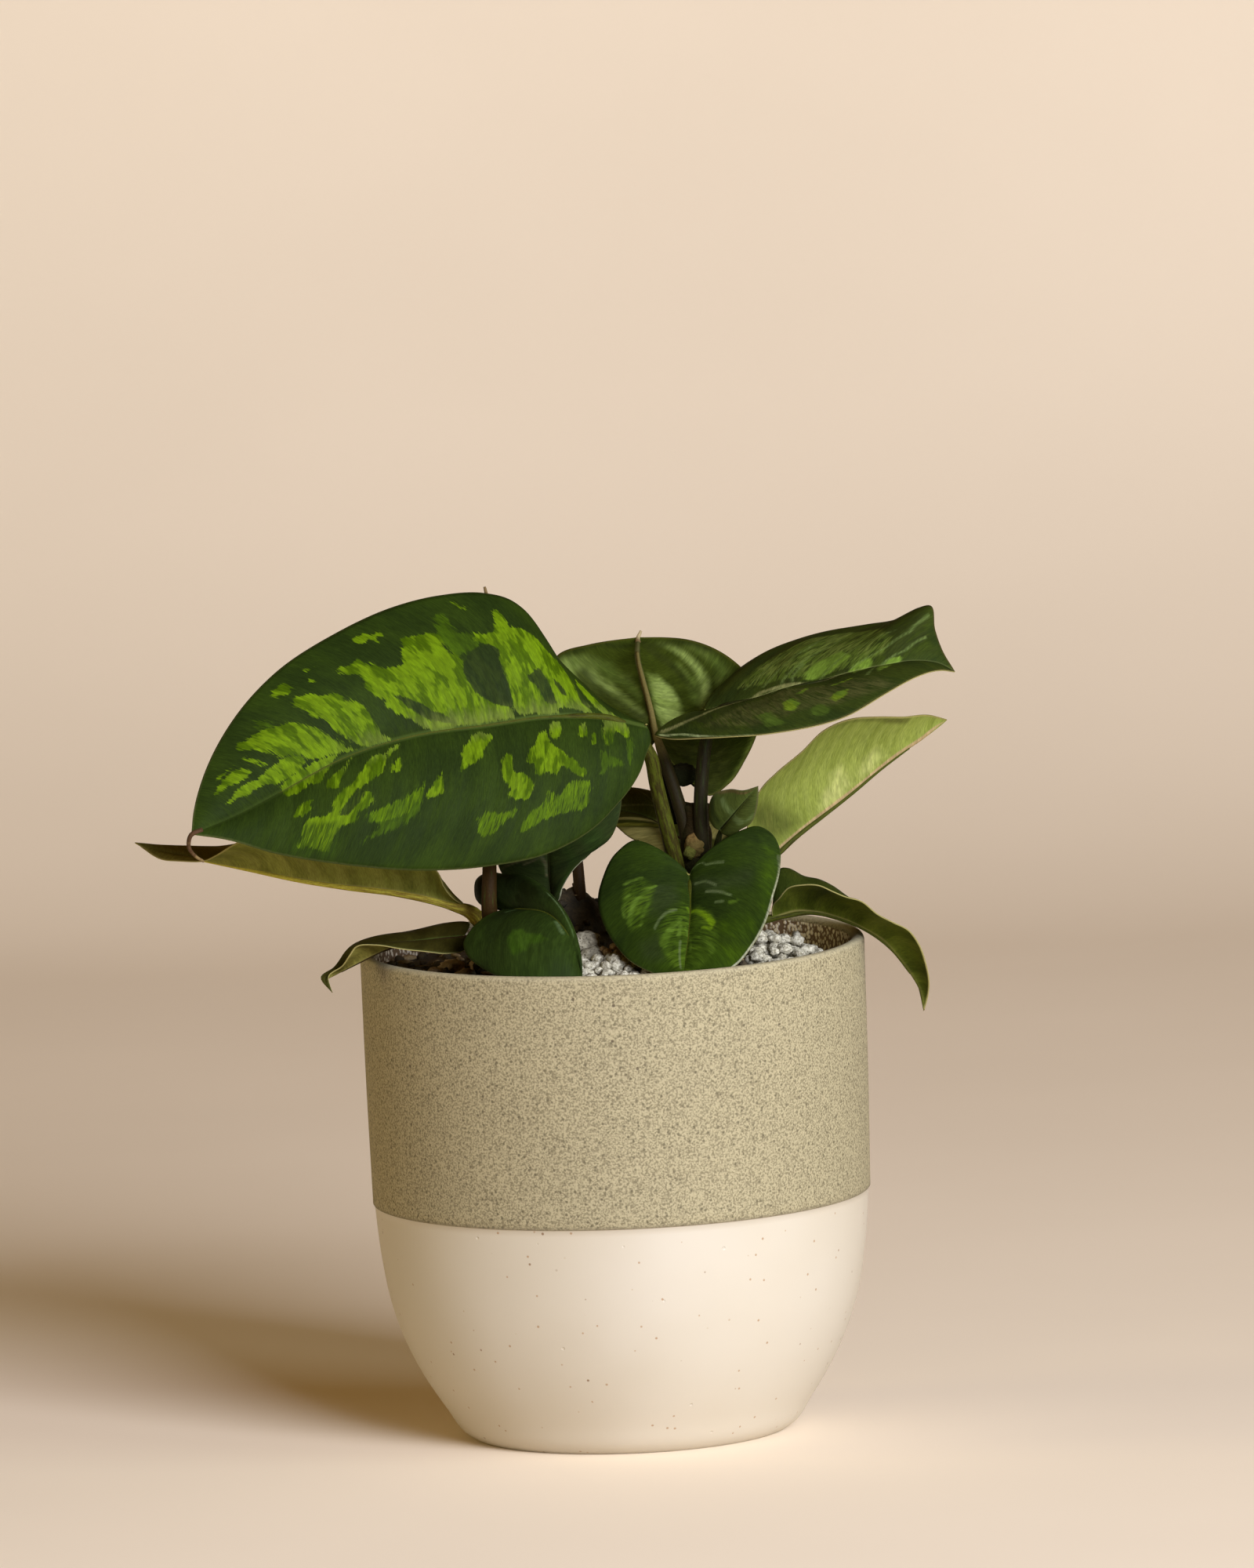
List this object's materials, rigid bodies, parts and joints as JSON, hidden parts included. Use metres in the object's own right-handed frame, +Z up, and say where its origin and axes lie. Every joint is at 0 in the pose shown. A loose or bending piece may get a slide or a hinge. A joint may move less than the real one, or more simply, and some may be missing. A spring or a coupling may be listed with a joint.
{
  "type": "potted homalomena house plant",
  "caption": "House plant with heart-shaped patterned leaves on separate stems, rooted in soil with pebbles in a round two-tone stoneware pot.",
  "frame": {"origin": "centre of the pot's flat underside, on the surface it stands on", "axes": "+Z up, +X to the right of the front view, +Y away from the viewer"},
  "size_m": [0.2703, 0.1697, 0.2805],
  "materials": {
    "stoneware": "matt speckled stoneware, sage above and cream below",
    "soil": "rough, dark potting mix",
    "rhizome": "rough brown bark",
    "pumice": "rough white pumice",
    "grey_stone": "rough grey stone",
    "leaf": "satin green leaf with lighter patches"
  },
  "bodies": {
    "root": {"pot": "stoneware", "soil": "soil", "crown_left": "rhizome", "crown_right": "rhizome", "pumice_front": "pumice", "pumice_right": "pumice", "grey_pebbles": "grey_stone", "leaf_front_left_large": "leaf", "leaf_back_upright": "leaf", "leaf_right_top": "leaf", "leaf_right_middle": "leaf", "leaf_small_dark": "leaf", "leaf_front_heart": "leaf", "leaf_front_left_small": "leaf", "leaf_under_left": "leaf", "leaf_left_low": "leaf", "leaf_left_bottom": "leaf", "leaf_right_bottom": "leaf", "leaf_back_low": "leaf", "leaf_hidden_upright": "leaf", "leaf_back_left": "leaf"}
  },
  "joints": []
}
